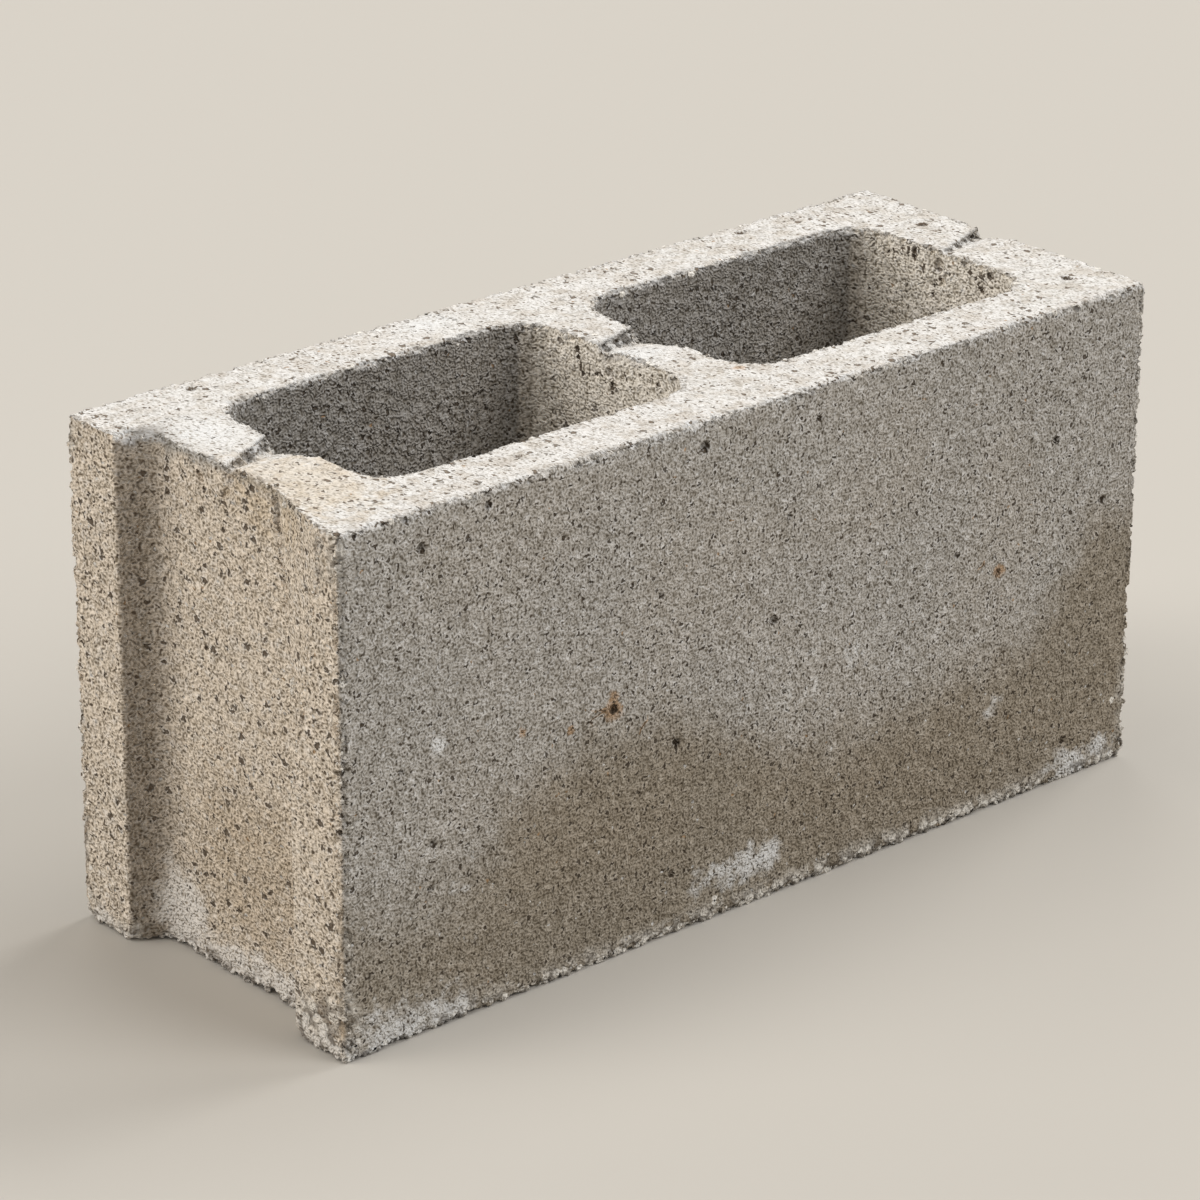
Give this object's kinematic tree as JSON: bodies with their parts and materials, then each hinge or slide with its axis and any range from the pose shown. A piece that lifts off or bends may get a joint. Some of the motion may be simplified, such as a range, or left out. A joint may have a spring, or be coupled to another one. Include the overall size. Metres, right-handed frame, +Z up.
{
  "type": "hollow concrete block",
  "caption": "Hollow two-core concrete masonry block with a mortar recess at one end and a plain other end.",
  "frame": {"origin": "middle of the underside, at the level that the block rests on", "axes": "+X along the length to the plain end, +Y across the width, +Z up out of the pressed top face"},
  "size_m": [0.4, 0.155, 0.2],
  "materials": {
    "concrete": "coarse cast concrete, matt, open pored"
  },
  "bodies": {
    "root": {"block": "concrete"}
  },
  "joints": []
}
